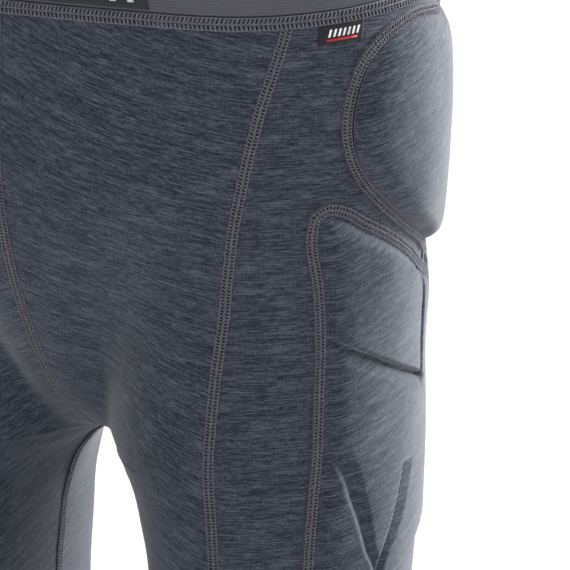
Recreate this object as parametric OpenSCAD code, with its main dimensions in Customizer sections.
// Padded impact shorts for skiing and snowboarding, worn under outer trousers.
// Stretch-knit panels joined by flat seams carry moulded foam pads on the hips, the thighs and the tailbone.
// The hems rest on z = 0, the front faces -Y and the wearer's left is +X. All lengths are millimetres.

/* [Garment size] */
// Height of the crotch above the leg hems
inseam_h = 205; // [195:1:215]
// Height of the front waist seam above the crotch
rise_h = 240; // [230:1:250]
// Height of the elastic waistband
band_h = 40; // [32:1:46]
// Width across the bare hips, at the waist seam
hip_w = 364; // [350:1:378]
// Depth of the seat from front to back
seat_d = 247; // [236:1:258]
// Width across both thighs at crotch level
thigh_w = 335; // [322:1:346]
// Gap between the two legs at the hems
leg_gap = 84; // [74:1:92]

/* [Fabric and seams] */
// Thickness of the knit panels
knit_t = 1.2; // [0.9:0.1:1.4]
// Width of a flat seam
seam_w = 6; // [5:0.5:7]
// How far a flat seam stands above the knit
seam_proud = 0.7; // [0.4:0.1:1]
// Thickness of the waistband
band_t = 2.2; // [1.8:0.1:2.6]
// Height of the folded leg hem
hem_h = 20; // [16:1:24]
// Clearance between neighbouring pieces
gap = 0.3; // [0.25:0.05:0.4]

/* [Impact pads] */
// Thickness of the hip pad foam
hip_pad_t = 10; // [6:0.5:10]
// Thickness of the thigh pad foam
thigh_pad_t = 5; // [4.5:0.5:8]
// Thickness of the tailbone pad foam
tail_pad_t = 9; // [7:0.5:11]
// Depth of the moulded flex grooves
groove_d = 2.8; // [2:0.2:3.2]
// Thickness of the cover over each pad
cover_t = 1; // [0.8:0.1:1.2]

/* [View] */
// Which sub-part is drawn, or all of them

/* [Hidden] */

knit_blue = [0.30, 0.33, 0.39];
cover_blue = [0.40, 0.43, 0.50];
thread_mauve = [0.42, 0.40, 0.43];
band_grey = [0.28, 0.28, 0.33];
badge_dark = [0.10, 0.11, 0.14];
foam_black = [0.16, 0.16, 0.17];

// The rows below are drawn for these sizes, then stretched to the garment's own.
crotch = 205;
drawn_rise = 240;
drawn_hip_w = 364;
drawn_thigh_w = 335;
drawn_seat_d = 247;
drawn_leg_gap = 84;
// How far above the crotch the thighs' width has become the hips' width.
widen_h = 125;
// Height where the two legs have fully merged into the trunk.
merge_h = 375;
// Moves the garment forwards, so that y = 0 is midway between its front and its tailbone pad.
y_shift = -15.1*seat_d/drawn_seat_d;
// How square the trunk's rounded section is; 2 is an ellipse.
roundness = 2.3;
// How flat a thigh is on its inner side; 1 is an ellipse.
inner_flat = 1.5;
// How fast the gap between the legs closes round a thigh, from its inner side to its front and back.
gap_fade = 3;
// Hollow on the front of each thigh beside the crotch: its depth, height, reach up and down, and place.
hollow_d = 4;
hollow_h = 210;
hollow_reach = 24;
hollow_t = 0.08;
// How quickly the rise closes upwards from the crotch, and how far round the body that shape reaches.
rise_power = 1.6;
rise_reach = 0.1;
// The surface is averaged over this height at the crotch, so that the legs flow into the trunk.
blend_h = 8;
blend_reach = 40;
blend_t = 0.08;
// Below this height step the average is left out.
least_blend = 0.3;
// Side pads have their middle line a little behind the side. 0 is the centre front, 1 the centre back.
pad_t = 0.585;
// Width of a side pad's rear half, as a share of its front half.
rear_share = 0.78;
// Edge of a panel, measured from the middle of its seam.
edge = seam_w/2 + gap;
// Height of a hem's coverstitched seam, above the folded hem.
hem_seam_h = hem_h + gap + seam_w/2;
// Millimetres of girth for each unit of t on a thigh.
girth = 450;
// Places where the width of the front and the back seam is measured.
front_seam_at = 0.25;
back_seam_at = 0.78;
// How far a folded hem stands in and out beyond the knit.
hem_inward = 0.3;
hem_outward = 0.5;
// How far the waistband stands above the knit.
band_proud = 0.2;
// Clearance under the foam of a pad.
foam_clear = 0.1;

// Rows of [height, millimetres] that shape the body.
half_width = [
    [0, 154], [60, 160], [130, 165], [165, 167], [205, 167.5], [260, 167.5], [300, 171], [330, 174.5],
    [360, 177.5], [400, 179.5], [440, 182], [500, 182]
];
trunk_front = [[205, 100], [260, 108], [330, 113], [400, 112], [440, 110], [500, 107]];
trunk_back = [[205, 112], [260, 128], [320, 134], [380, 132], [440, 126], [500, 118]];
leg_front = [[0, 68], [60, 74], [130, 82], [180, 87], [205, 89], [375, 96]];
leg_back = [[0, 72], [60, 80], [130, 89], [180, 97], [205, 101], [375, 116]];
half_gap = [[0, 42], [60, 41], [130, 37], [165, 31], [190, 19.5], [200, 9.5], [205, 0]];
leg_centre = [[0, 8], [130, 8], [205, 6], [375, 6]];
// Height of the waist seam's middle for each place around the body.
waist_h = [
    [0, 450], [0.1, 448], [0.22, 445.5], [0.33, 447.5], [0.42, 451], [0.5, 454], [0.75, 463], [1, 466]
];
// Place of the front and back flat seams for each height.
front_seam_t = [
    [0, 0.28], [110, 0.282], [167, 0.283], [192, 0.284], [217, 0.2845], [242, 0.2825], [270, 0.273],
    [295, 0.26], [320, 0.243], [345, 0.231], [368, 0.231], [387, 0.239], [405, 0.248], [422, 0.259],
    [440, 0.27], [470, 0.285]
];
back_seam_t = [[0, 0.79], [150, 0.79], [250, 0.8], [350, 0.822], [400, 0.822], [470, 0.81]];

// Half outlines of [place from pad_t, height], from the top middle to the bottom middle.
hip_half = [
    [0, 439], [0.05, 442.5], [0.1, 444.5], [0.145, 441], [0.184, 433.5], [0.2135, 420], [0.2275, 398],
    [0.2225, 380], [0.2, 364.5], [0.1585, 350.5], [0.1, 336], [0.05, 325], [0, 314]
];
tail_half = [
    [0, 412], [0.03, 411], [0.06, 402], [0.082, 379], [0.08, 349], [0.062, 316], [0.036, 290], [0, 281]
];
// Front edge, top edge and bottom edge of the thigh pad's cover seam.
thigh_edge = [
    [57, 0.191], [75, 0.203], [110, 0.207], [165, 0.205], [195, 0.199], [224, 0.194], [254, 0.197],
    [284, 0.209], [313, 0.232], [334, 0.257], [352, 0.271]
];
thigh_top = [
    [0, 300], [0.03, 306], [0.076, 319], [0.137, 332.5], [0.186, 342], [0.2185, 349], [0.246, 352.5],
    [0.271, 352]
];
thigh_bottom = 57;
// Moulded grooves of the thigh pad: the two arms of the V, which meet at v_tip_h.
v_inner = [
    [57, 0.112], [110, 0.116], [145, 0.1195], [150, 0.1185], [155, 0.1165], [163, 0.109], [168, 0.104],
    [177, 0.0955], [185, 0.0895], [194, 0.0845], [204, 0.081], [304, 0.075]
];
v_outer = [
    [57, 0.126], [110, 0.1275], [145, 0.1295], [150, 0.13], [155, 0.1325], [163, 0.1405], [174, 0.147],
    [185, 0.153], [195, 0.16], [206, 0.166], [224, 0.168], [254, 0.168], [304, 0.178]
];
v_tip_h = 143;
v_inner_top_h = 206;
v_outer_top_h = 220;
// Height of the sloping upper groove and of the arch over the lower recess at the pad's middle, and
// their slopes.
chevron_h = 236;
chevron_slope = 229.5;
arch_h = 166;
arch_slope = -215;
arch_end = 0.125;
// Distance from the pad's middle line to each of its two upright grooves.
upright_s = 0.04;
// How wide a moulded groove is at its edge.
groove_w = 4;

// ---- Shape of the body ----

function mix(a, b, k) = a + (b - a)*k;
function limit(v, low, high) = max(low, min(high, v));
function unit(v) = v/norm(v);

// Smooth curve through rows of [position, value].
function row_before(rows, x, i = 0) =
    i >= len(rows) - 2 || x < rows[i + 1][0] ? i : row_before(rows, x, i + 1);
function pitch(rows, i) = (rows[i + 1][1] - rows[i][1])/(rows[i + 1][0] - rows[i][0]);
function lean(rows, i) =
    i == 0 ? pitch(rows, 0) :
    i == len(rows) - 1 ? pitch(rows, i - 1) :
    let (
        before = rows[i][0] - rows[i - 1][0],
        after = rows[i + 1][0] - rows[i][0]
    )
    (pitch(rows, i - 1)*after + pitch(rows, i)*before)/(before + after);
function curve(rows, x) =
    let (
        v = limit(x, rows[0][0], rows[len(rows) - 1][0]),
        i = row_before(rows, v),
        h = rows[i + 1][0] - rows[i][0],
        u = (v - rows[i][0])/h,
        start = (2*u*u*u - 3*u*u + 1)*rows[i][1] + (u*u*u - 2*u*u + u)*h*lean(rows, i),
        end = (3*u*u - 2*u*u*u)*rows[i + 1][1] + (u*u*u - u*u)*h*lean(rows, i + 1)
    )
    start + end;

// Smooth closed ring through points, u from 0 to 1.
function ring_at(points, u) =
    let (
        n = len(points),
        i = floor(u*n),
        k = u*n - i,
        p0 = points[(i + n - 1) % n],
        p1 = points[i % n],
        p2 = points[(i + 1) % n],
        p3 = points[(i + 2) % n]
    )
    0.5*(2*p1 + (p2 - p0)*k + (2*p0 - 5*p1 + 4*p2 - p3)*k*k + (3*p1 - p0 - 3*p2 + p3)*k*k*k);
function both_halves(half) =
    concat(half, [for (i = [len(half) - 2:-1:1]) [-half[i][0], half[i][1]]]);

function real_h(h) =
    h < crotch ? h*inseam_h/crotch : inseam_h + (h - crotch)*rise_h/drawn_rise;
function wide(h) =
    mix(thigh_w/drawn_thigh_w, hip_w/drawn_hip_w, limit((h - crotch)/widen_h, 0, 1));
function signed_pow(v, e) = sign(v)*pow(abs(v), e);

// Outer face of the knit on the wearer's left: t runs 0 to 1 from the centre front round to the centre
// back, and below the crotch right round the leg.
function plain_skin(t, h) =
    let (
        q = limit((merge_h - h)/(merge_h - crotch), 0, 1),
        sharp = 1 - sqrt(max(0, 1 - pow(q, rise_power))),
        soft = q*q*(3 - 2*q),
        near = exp(-pow(min(t, 1 - t)/rise_reach, 2)),
        leg = mix(soft, sharp, near),
        a = curve(half_width, h)*wide(h),
        c = cos(180*t),
        trunk_x = a*signed_pow(sin(180*t), 2/roundness),
        trunk_r = c > 0 ? curve(trunk_front, h) : curve(trunk_back, h),
        trunk_y = -trunk_r*c,
        round_c = cos(360*t),
        round_s = signed_pow(sin(360*t), round_c > 0 ? inner_flat : 1),
        inner = h < crotch ? curve(half_gap, h)*leg_gap/drawn_leg_gap : 0,
        u = max(0, t)/hollow_t,
        hollow = hollow_d*pow(u*exp(1 - u), 2)*exp(-pow((h - hollow_h)/hollow_reach, 2)),
        leg_x = a/2*(1 - round_c) + inner*pow((1 + round_c)/2, gap_fade) + hollow,
        leg_r = round_s > 0 ? curve(leg_front, h) : curve(leg_back, h),
        leg_y = curve(leg_centre, h) - leg_r*round_s
    )
    [mix(trunk_x, leg_x, leg), mix(trunk_y, leg_y, leg)*seat_d/drawn_seat_d + y_shift];
// Shares of the neighbouring heights in the average.
shares = [0.0545, 0.2444, 0.4022, 0.2444, 0.0545];
function skin(t, h) =
    let (
        k = limit(min(t, 1 - t)/blend_t, 0, 1),
        step = blend_h*k*k*(3 - 2*k)*exp(-pow((h - crotch)/blend_reach, 2)),
        flat = step < least_blend ? plain_skin(t, h) : sum_points([
            for (i = [-2:2]) shares[i + 2]*plain_skin(t, h + i*step)
        ])
    )
    [flat[0], flat[1], real_h(h)];
function sum_points(v) = v[0] + v[1] + v[2] + v[3] + v[4];
// The same face on both sides: t beyond 1 comes back to the centre front on the wearer's right.
function body(t, h) = t <= 1 ? skin(t, h) : let (p = skin(2 - t, h)) [-p[0], p[1], p[2]];
function along_t(t, h) = skin(t + 0.001, h) - skin(t - 0.001, h);
function outward(t, h) =
    let (
        side = t > 1 ? 2 - t : t,
        up = skin(side, h + 0.2) - skin(side, h - 0.2),
        n = unit(cross(along_t(side, h), up)),
        level = h < 1 ? unit([n[0], n[1], 0]) : n
    )
    [t > 1 ? -level[0] : level[0], level[1], level[2]];
function lifted(t, h, d) = body(t, h) + d*outward(t, h);
// Place of a point s from the middle line t0, where rear is the share of widths behind that line.
function placed(t0, s, rear) = t0 + s*(s > 0 ? rear : 1);
// How much t changes over a length measured round the body.
function t_step(t, h, length) = length/norm(along_t(t, h))*0.002;

// Place where the panel starts beside the centre seam or the inseam.
function find_t(h, back, x, low, high, n) =
    let (m = (low + high)/2)
    n == 0 ? high :
    skin(back ? 1 - m : m, h)[0] < x ? find_t(h, back, x, m, high, n - 1) :
    find_t(h, back, x, low, m, n - 1);
// Beside the inseam the leg is so flat that the place follows from its depth.
inseam_spare = 1.08;
search_from_h = 195;
search_to_t = 0.12;
search_steps = 14;
function inner_edge(h, back) =
    let (
        low = min(h, crotch),
        leg_r = (back ? curve(leg_back, low) : curve(leg_front, low))*seat_d/drawn_seat_d,
        beside_inseam = pow(edge*inseam_spare/leg_r, 1/inner_flat)/(2*PI),
        t = h > search_from_h ? find_t(h, back, edge, 0, search_to_t, search_steps) : 0
    )
    h > crotch ? t : max(t, beside_inseam);

// ---- Solids built on the body ----

// A closed sheet from a grid of [t, h, inner lift, outer lift]. A loop closes on itself; a cap closes
// its first row of points with one in the middle.
module sheet(cells, loop = false, cap = false) {
    m = len(cells);
    n = len(cells[0]);
    k = m*n;
    outer = [for (row = cells) for (c = row) lifted(c[0], c[1], c[3])];
    inner = [for (row = cells) for (c = row) lifted(c[0], c[1], c[2])];
    middle = cap ? [for (side = [outer, inner]) mid([for (i = [0:m - 1]) side[i*n]])] : [];
    spans = [for (i = [0:loop ? m - 1 : m - 2]) [i*n, ((i + 1) % m)*n]];
    faces = concat(
        [for (s = spans) for (j = [0:n - 2]) each quad(s[0] + j, s[1] + j, s[1] + j + 1, s[0] + j + 1)],
        [for (s = spans) for (j = [0:n - 2])
            each quad(k + s[0] + j, k + s[0] + j + 1, k + s[1] + j + 1, k + s[1] + j)],
        [for (s = spans) each quad(s[0] + n - 1, s[1] + n - 1, k + s[1] + n - 1, k + s[0] + n - 1)],
        cap ? [] : [for (s = spans) each quad(s[1], s[0], k + s[0], k + s[1])],
        cap ? [for (s = spans) each [[s[0], 2*k, s[1]], [k + s[1], 2*k + 1, k + s[0]]]] : [],
        loop ? [] : [for (j = [0:n - 2]) each quad(j, j + 1, k + j + 1, k + j)],
        loop ? [] : [for (j = [0:n - 2])
            each quad(k - n + j + 1, k - n + j, 2*k - n + j, 2*k - n + j + 1)]
    );
    polyhedron(points = concat(outer, inner, middle), faces = [for (f = faces) [f[2], f[1], f[0]]]);
}
function quad(a, b, c, d) = [[a, b, c], [a, c, d]];
function mid(points) = [for (i = [0:2]) sum([for (p = points) p[i]])/len(points)];
function sum(v, i = 0) = i == len(v) ? 0 : v[i] + sum(v, i + 1);

// A flat seam swept along points, each with the body's outward direction.
module ribbon(points, normals, width, low, high, loop = false) {
    n = len(points);
    last = n - 1;
    corners = [for (i = [0:last])
        let (
            ahead = points[loop ? (i + 1) % n : min(i + 1, last)],
            behind = points[loop ? (i + last) % n : max(i - 1, 0)],
            run = unit(ahead - behind),
            across = unit(cross(normals[i], run)),
            up = unit(cross(run, across))
        )
        for (c = [[-1, low], [1, low], [1, high], [-1, high]])
            points[i] + across*c[0]*width/2 + up*c[1]
    ];
    spans = [for (i = [0:loop ? last : last - 1]) [4*i, 4*((i + 1) % n)]];
    faces = concat(
        [for (s = spans) for (c = [0:3])
            each quad(s[0] + c, s[0] + (c + 1) % 4, s[1] + (c + 1) % 4, s[1] + c)],
        loop ? [] : quad(3, 2, 1, 0),
        loop ? [] : quad(4*last, 4*last + 1, 4*last + 2, 4*last + 3)
    );
    polyhedron(points = corners, faces = [for (f = faces) [f[2], f[1], f[0]]]);
}
module skin_ribbon(path, width, low, high, loop = false) {
    ribbon(
        [for (p = path) body(p[0], p[1])],
        [for (p = path) outward(p[0], p[1])],
        width, low, high, loop
    );
}

module on_right() {
    mirror([1, 0, 0])
        children();
}

// ---- Knit panels ----

function top_of_panel(t) = curve(waist_h, t) - edge;
panel_bottom = hem_seam_h + edge;
// Rows crowd together at the crotch, where the legs part.
panel_rows = [
    panel_bottom, 50, 85, 120, 150, 175, 191, 200, 205, 207, 211, 218, 229, 245, 268, 296, 326, 356, 388, 418
];
function panel_h(i, t) = i < len(panel_rows) ? panel_rows[i] : top_of_panel(t);

// A panel from one edge to the other; from and to give their place for a height.
module panel(from, to, columns) {
    sheet([for (c = [0:columns]) [for (i = [0:len(panel_rows)])
        let (
            h0 = panel_h(i, 0.5),
            t0 = mix(from(h0), to(h0), c/columns),
            h = panel_h(i, t0),
            t = mix(from(h), to(h), c/columns)
        )
        [t, h, -knit_t, 0]
    ]]);
}

front_middle = function (h) inner_edge(h, false);
back_middle = function (h) 1 - inner_edge(h, true);
before_front_seam = function (h) curve(front_seam_t, h) - t_step(front_seam_at, h, edge);
after_front_seam = function (h) curve(front_seam_t, h) + t_step(front_seam_at, h, edge);
before_back_seam = function (h) curve(back_seam_t, h) - t_step(back_seam_at, h, edge);
after_back_seam = function (h) curve(back_seam_t, h) + t_step(back_seam_at, h, edge);

module front_panel_left() {
    color(knit_blue)
        panel(front_middle, before_front_seam, 6);
}
module front_panel_right() {
    on_right()
        front_panel_left();
}
module side_panel_left() {
    color(knit_blue)
        panel(after_front_seam, before_back_seam, 11);
}
module side_panel_right() {
    on_right()
        side_panel_left();
}
module back_panel_left() {
    color(knit_blue)
        panel(after_back_seam, back_middle, 6);
}
module back_panel_right() {
    on_right()
        back_panel_left();
}

// ---- Hems and flat seams ----

hem_steps = 36;
module hem_band_left() {
    color(knit_blue)
        sheet([for (i = [0:hem_steps - 1])
            [for (h = [0, hem_h]) [i/hem_steps, h, -knit_t - hem_inward, hem_outward]]
        ], loop = true);
}
module hem_band_right() {
    on_right()
        hem_band_left();
}
module hem_seam_left() {
    color(thread_mauve)
        sheet([for (i = [0:hem_steps - 1])
            [for (h = [hem_seam_h - seam_w/2, hem_seam_h + seam_w/2]) [i/hem_steps, h, -knit_t, seam_proud]]
        ], loop = true);
}
module hem_seam_right() {
    on_right()
        hem_seam_left();
}

seam_steps = 27;
last_row_h = 420;
waist_about_h = 440;
seam_rows = [for (i = [0:seam_steps]) mix(panel_bottom, last_row_h, i/seam_steps)];
module flat_seam(t_rows) {
    path = concat(
        [for (h = seam_rows) [curve(t_rows, h), h]],
        [for (t = [curve(t_rows, waist_about_h)]) [t, top_of_panel(t)]]
    );
    color(thread_mauve)
        skin_ribbon(path, seam_w, -knit_t, seam_proud);
}
module front_seam_left() {
    flat_seam(front_seam_t);
}
module front_seam_right() {
    on_right()
        front_seam_left();
}
module back_seam_left() {
    flat_seam(back_seam_t);
}
module back_seam_right() {
    on_right()
        back_seam_left();
}
module inseam_left() {
    color(thread_mauve)
        skin_ribbon([for (h = [panel_bottom, 60, 95, 125, 150, 170, 183, 192, 198, 202.5]) [0, h]],
            seam_w, -knit_t, seam_proud);
}
module inseam_right() {
    on_right()
        inseam_left();
}

// Runs from the front waist under the crotch to the back waist.
centre_rows = [420, 382, 345, 315, 288, 264, 245, 230, 219, 212, 208, 206, 205.3];
module centre_seam() {
    down = [for (h = concat([top_of_panel(0)], centre_rows)) body(0, h)];
    up = [for (i = [len(centre_rows) - 1:-1:0]) body(1, centre_rows[i])];
    points = concat(down, [body(0, crotch)], up, [body(1, top_of_panel(1))]);
    last = len(points) - 1;
    normals = [for (i = [0:last]) cross([-1, 0, 0], points[min(i + 1, last)] - points[max(i - 1, 0)])];
    color(thread_mauve)
        ribbon(points, normals, seam_w, -knit_t, seam_proud);
}

// ---- Waist ----

waist_steps = 64;
module waist_seam() {
    color(thread_mauve)
        sheet([for (i = [0:waist_steps - 1])
            let (t = 2*i/waist_steps, h = curve(waist_h, t > 1 ? 2 - t : t))
            [[t, h - seam_w/2, -knit_t, seam_proud], [t, h + seam_w/2, -knit_t, seam_proud]]
        ], loop = true);
}
module waistband() {
    color(band_grey)
        sheet([for (i = [0:waist_steps - 1])
            let (t = 2*i/waist_steps, h = curve(waist_h, t > 1 ? 2 - t : t) + edge)
            [for (k = [0:2]) [t, h + (band_h - edge)*k/2, band_proud - band_t, band_proud]]
        ], loop = true);
}
// Woven patch on the front of the waistband, a little wider at its foot.
badge_t = 0.124;
badge_h = 28;
badge_widening = 0.05;
badge_lift = 2;
badge_base = 0.5;
badge_top = 1;
module waistband_badge() {
    color(badge_dark)
        sheet([for (i = [0:12])
            let (t0 = mix(-badge_t, badge_t, i/12))
            [for (k = [0:2])
                let (
                    t1 = t0*(1 + badge_widening*(1 - k)),
                    t = t1 < 0 ? 2 + t1 : t1
                )
                [t, curve(waist_h, abs(t1)) + seam_w/2 + badge_lift + badge_h*k/2, badge_base, badge_top]
            ]
        ]);
}
// Woven label caught in the waist seam on the wearer's left.
label_from = 0.311;
label_to = 0.373;
label_h = 9;
label_t = 0.6;
module side_label() {
    color(badge_dark)
        sheet([for (i = [0:3])
            let (t = mix(label_from, label_to, i/3), top = top_of_panel(t) - gap)
            [for (h = [top - label_h, top]) [t, h, gap, gap + label_t]]
        ]);
}

// ---- Hip and tailbone pads ----

// Rings of a domed pad, from near its middle out to its edge.
pad_sectors = 28;
dome_rings = [0.3, 0.58, 0.8, 0.93, 1];
// Height of the dome at each ring, as a share of the foam's thickness.
dome_share = [1, 0.97, 0.85, 0.58, 0];
function pad_point(half, t0, rear, centre_h, ring, u) =
    let (p = ring_at(both_halves(half), u))
    [placed(t0, p[0]*ring, rear), mix(centre_h, p[1], ring)];
function inset(half, centre_h, length) = 1 - length/(centre_h - half[len(half) - 1][1]);

// base is how far the pad's underside stands above the knit.
module dome_foam(half, t0, rear, centre_h, thick, base = gap) {
    shrink = inset(half, centre_h, edge);
    color(foam_black)
        sheet([for (i = [0:pad_sectors - 1]) [for (k = [0:3])
            let (p = pad_point(half, t0, rear, centre_h, dome_rings[k]*shrink, i/pad_sectors))
            [p[0], p[1], base + foam_clear, base + dome_share[k]*thick]
        ]], loop = true, cap = true);
}
module dome_cover(half, t0, rear, centre_h, thick, base = gap) {
    shrink = inset(half, centre_h, edge);
    color(cover_blue)
        sheet([for (i = [0:pad_sectors - 1]) [for (k = [0:4])
            let (
                p = pad_point(half, t0, rear, centre_h, dome_rings[k]*shrink, i/pad_sectors),
                low = base + (k == 4 ? 0 : dome_share[k]*thick + gap/2)
            )
            [p[0], p[1], low, low + cover_t]
        ]], loop = true, cap = true);
}
module dome_seam(half, t0, rear, base = gap) {
    color(thread_mauve)
        skin_ribbon([for (i = [0:35])
            let (p = ring_at(both_halves(half), i/36))
            [placed(t0, p[0], rear), p[1]]
        ], seam_w, base, base + cover_t + seam_proud/2, loop = true);
}

hip_centre_h = 385;
module hip_pad_foam_left() {
    dome_foam(hip_half, pad_t, rear_share, hip_centre_h, hip_pad_t);
}
module hip_pad_foam_right() {
    on_right()
        hip_pad_foam_left();
}
module hip_pad_cover_left() {
    dome_cover(hip_half, pad_t, rear_share, hip_centre_h, hip_pad_t);
}
module hip_pad_cover_right() {
    on_right()
        hip_pad_cover_left();
}
module hip_pad_seam_left() {
    dome_seam(hip_half, pad_t, rear_share);
}
module hip_pad_seam_right() {
    on_right()
        hip_pad_seam_left();
}

tail_centre_h = 349;
tail_base = seam_proud + gap;
module tail_pad_foam() {
    dome_foam(tail_half, 1, 1, tail_centre_h, tail_pad_t, tail_base);
}
module tail_pad_cover() {
    dome_cover(tail_half, 1, 1, tail_centre_h, tail_pad_t, tail_base);
}
module tail_pad_seam() {
    dome_seam(tail_half, 1, 1, tail_base);
}

// ---- Thigh pads ----

function chevron_at(s) = chevron_h + chevron_slope*s;
function arch_at(s) = arch_h + arch_slope*s;
function edge_s(h) = curve(thigh_edge, h) - edge/girth*1.05;
function top_s(s) = curve(thigh_top, s) - edge*1.1;

// Width of the flat strip just inside the cover's lower and upper edges.
rim_w = 7;
// Places across half of the pad at a height: lines along each side and the floor of every groove.
function across(h) =
    let (
        g = groove_w/girth,
        inner_arm = curve(v_inner, h),
        outer_arm = curve(v_outer, h),
        g2 = min(g, (outer_arm - inner_arm)*0.3),
        rim = edge_s(h)
    )
    [
        0, upright_s - g, upright_s, upright_s + g, inner_arm - g, inner_arm, inner_arm + g2,
        mix(inner_arm, outer_arm, 0.5), outer_arm - g2, outer_arm, outer_arm + g,
        mix(outer_arm + g, rim, 0.4), rim
    ];
// Heights up the pad at a place across it, from the bottom edge to the top edge.
function upward(s) =
    let (
        low = thigh_bottom + edge,
        arch = arch_at(s),
        chevron = chevron_at(s),
        top = top_s(s),
        g = groove_w*1.2
    )
    [
        low, low + rim_w, mix(low + rim_w, arch - g, 0.5), arch - g, arch, arch + g,
        mix(arch + g, chevron - g, 0.25), mix(arch + g, chevron - g, 0.5), mix(arch + g, chevron - g, 0.75),
        chevron - g, chevron, chevron + g, mix(chevron + g, top - rim_w, 0.5), top - rim_w, top
    ];

// A groove's depth fades out sideways and past its ends. Sloping grooves are measured square to their run.
groove_spread = groove_w*0.55;
arm_fade_h = 16;
tip_fade_h = 6;
arch_fade_t = 0.012;
chevron_fade_t = 0.012;
upright_fade_h = 4;
arm_square = 0.93;
chevron_square = 0.9;
arch_square = 0.75;
function dip(distance) = exp(-pow(distance/groove_spread, 2));
function fade(v, from, to) = limit((v - from)/(to - from), 0, 1);
function groove_share(s, h) =
    let (
        tip = fade(h, v_tip_h - tip_fade_h, v_tip_h),
        inner_end = fade(h, v_inner_top_h, v_inner_top_h - arm_fade_h/2),
        outer_end = fade(h, v_outer_top_h, v_outer_top_h - arm_fade_h),
        inner_arm = tip*inner_end*dip((s - curve(v_inner, h))*girth*arm_square),
        outer_arm = tip*outer_end*dip((s - curve(v_outer, h))*girth*arm_square),
        chevron = fade(s, upright_s - chevron_fade_t, upright_s)*dip((h - chevron_at(s))*chevron_square),
        arch = fade(s, arch_end + arch_fade_t, arch_end)*dip(max(0, h - arch_at(s))*arch_square),
        upright = fade(h, chevron_at(s), chevron_at(s) + upright_fade_h)*dip((s - upright_s)*girth)
    )
    max(inner_arm, outer_arm, chevron, arch, upright);

// Rounds the corners of the pad.
corner_cut = 0.07;
corner_power = 15;
function rounded(s, h) =
    let (
        top = curve(thigh_top, abs(s)),
        middle = (top + thigh_bottom)/2,
        x = min(1, abs(s)/curve(thigh_edge, h)),
        y = min(1, abs(h - middle)/(top - middle))
    )
    [
        s*sqrt(1 - corner_cut*pow(y, corner_power)),
        middle + (h - middle)*sqrt(1 - corner_cut*pow(x, corner_power))
    ];

pad_columns = 12;
pad_rows = 14;
pad_middle_s = 0.12;
rim_share = 0.7;
// Grid over the whole pad, mirrored about its middle line: [t, h, top of the foam].
function pad_grid(first) =
    [for (i = [-(pad_columns - first):pad_columns - first]) [for (j = [first:pad_rows - first])
        let (
            c = abs(i),
            h0 = upward(pad_middle_s)[j],
            h1 = upward(across(h0)[c])[j],
            s = across(h1)[c],
            h = upward(s)[j],
            rim = min(pad_columns - c, j, pad_rows - j),
            dome = rim == 0 ? 0 : rim == 1 ? rim_share : 1,
            top = thigh_pad_t*dome - (rim < 2 ? 0 : groove_d)*groove_share(s, h),
            p = rounded(sign(i)*s, h)
        )
        [placed(pad_t, p[0], rear_share), p[1], top]
    ]];

module thigh_pad_foam_left() {
    color(foam_black)
        sheet([for (row = pad_grid(1)) [for (c = row) [c[0], c[1], gap + foam_clear, c[2]]]]);
}
module thigh_pad_foam_right() {
    on_right()
        thigh_pad_foam_left();
}
module thigh_pad_cover_left() {
    color(cover_blue)
        sheet([for (row = pad_grid(0)) [for (c = row)
            [c[0], c[1], max(gap, c[2] + gap), max(gap, c[2] + gap) + cover_t]
        ]]);
}
module thigh_pad_cover_right() {
    on_right()
        thigh_pad_cover_left();
}

// Half of the cover's seam line, from the top middle down the front edge to the bottom middle.
thigh_half = concat(
    [for (s = [0, 0.035, 0.07, 0.11, 0.15, 0.19, 0.225, 0.25]) [s, curve(thigh_top, s)]],
    [[0.266, 349]],
    [for (h = [341, 328, 310, 282, 254, 224, 195, 160, 125, 90, 70]) [curve(thigh_edge, h), h]],
    [for (s = [0.18, 0.12, 0.06, 0]) [s, thigh_bottom]]
);
module thigh_pad_seam_left() {
    color(thread_mauve)
        skin_ribbon([for (p = both_halves(thigh_half)) [placed(pad_t, p[0], rear_share), p[1]]],
            seam_w, gap, gap + cover_t + seam_proud/2, loop = true);
}
module thigh_pad_seam_right() {
    on_right()
        thigh_pad_seam_left();
}

front_panel_left();
front_panel_right();
side_panel_left();
side_panel_right();
back_panel_left();
back_panel_right();
hem_band_left();
hem_band_right();
hem_seam_left();
hem_seam_right();
inseam_left();
inseam_right();
front_seam_left();
front_seam_right();
back_seam_left();
back_seam_right();
centre_seam();
waist_seam();
waistband();
waistband_badge();
side_label();
hip_pad_foam_left();
hip_pad_foam_right();
hip_pad_cover_left();
hip_pad_cover_right();
hip_pad_seam_left();
hip_pad_seam_right();
thigh_pad_foam_left();
thigh_pad_foam_right();
thigh_pad_cover_left();
thigh_pad_cover_right();
thigh_pad_seam_left();
thigh_pad_seam_right();
tail_pad_foam();
tail_pad_cover();
tail_pad_seam();
